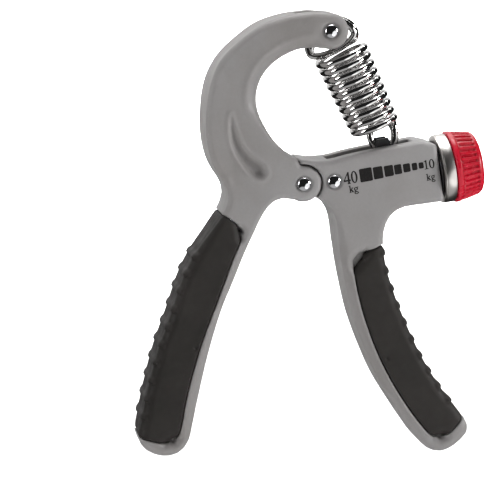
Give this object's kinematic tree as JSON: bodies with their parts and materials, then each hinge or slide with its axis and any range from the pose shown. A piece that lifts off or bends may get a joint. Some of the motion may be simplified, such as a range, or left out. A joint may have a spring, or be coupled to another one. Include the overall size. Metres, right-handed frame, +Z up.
{
  "type": "hand grip strengthener",
  "caption": "Adjustable hand grip strengthener: a hook-shaped lever and an arm lever pivot together, held open by an extension spring whose foot moves along a knob-driven screw.",
  "frame": {"origin": "centre of the main pivot rivet, midway through the thickness", "axes": "+X from the hook side towards the knob, +Y through the thickness towards the rear face, +Z up from the handle ends towards the hook; the front face looks towards -Y"},
  "size_m": [0.1252, 0.0258, 0.1602],
  "materials": {
    "grey_plastic": "fine matte moulded texture",
    "black_rubber": "soft matte, moulded ribs on the outer edge",
    "chrome": "bright plating",
    "spring_wire": "bright plated spring wire",
    "steel": "plain zinc-plated steel",
    "brass": "plain turned",
    "black_nylon": "plain moulded",
    "acetal": "smooth",
    "red_plastic": "semi-gloss, fluted side"
  },
  "bodies": {
    "hook_side": {"hook_lever": "grey_plastic", "hook_grip": "black_rubber", "tip_rivet": "chrome", "tip_rivet_cap": "chrome", "pivot_rivet": "chrome", "pivot_rivet_cap": "chrome"},
    "arm_side": {"arm_lever": "grey_plastic", "arm_grip": "black_rubber", "anchor_rivet": "chrome", "anchor_rivet_cap": "chrome", "pivot_bush": "brass", "pivot_washer_front": "acetal", "pivot_washer_rear": "acetal", "screw_anchor": "black_nylon", "end_plug": "black_nylon", "collar": "chrome", "thrust_washer": "acetal"},
    "adjuster": {"lead_screw": "steel", "knob": "red_plastic", "knob_nut": "steel", "knob_cap": "red_plastic"},
    "travel_nut": {"travel_nut": "black_nylon"},
    "spring_hook": {"spring_hook": "spring_wire"},
    "spring_ring": {"spring_ring": "spring_wire"},
    "spring_coil": {"spring_coil": "spring_wire"}
  },
  "joints": [
    {"name": "squeeze", "type": "hinge", "parent": "hook_side", "child": "arm_side", "pos_m": [0, 0, 0], "axis": [0, 1, 0], "range_deg": [0, 43], "stiffness_Nm_per_rad": 15, "springref_deg": -9.74},
    {"name": "knob_turn", "type": "hinge", "parent": "arm_side", "child": "adjuster", "pos_m": [0.06102, 0, 0.00466], "axis": [0.9877, 0, 0.1564], "range_deg": [-2520, 360]},
    {"name": "nut_travel", "type": "slide", "parent": "arm_side", "child": "travel_nut", "axis": [0.9877, 0, 0.1564], "range_m": [-0.01052, 0.00152]},
    {"name": "spring_swing", "type": "hinge", "parent": "hook_side", "child": "spring_ring", "pos_m": [0.0095, 0, 0.0537], "axis": [0, -1, 0], "range_deg": [-13.39, 2]},
    {"name": "spring_stretch", "type": "slide", "parent": "spring_ring", "child": "spring_coil", "axis": [0.0343, 0, -0.9994], "range_m": [0, 0.02404], "deforming": ["spring_coil"]},
    {"name": "hook_swing", "type": "hinge", "parent": "travel_nut", "child": "spring_hook", "pos_m": [0.02996, 0, 0.01301], "axis": [0, -1, 0], "range_deg": [0, 34.63]}
  ],
  "couplings": [
    {"joint": "nut_travel", "follows": "knob_turn", "m_per_rad": 0.00023873},
    {"joint": "spring_swing", "follows": "knob_turn", "ratio": 0.005273},
    {"joint": "spring_stretch", "follows": "squeeze", "m_per_rad": 0.031904},
    {"joint": "hook_swing", "follows": "squeeze", "ratio": 0.8031}
  ]
}
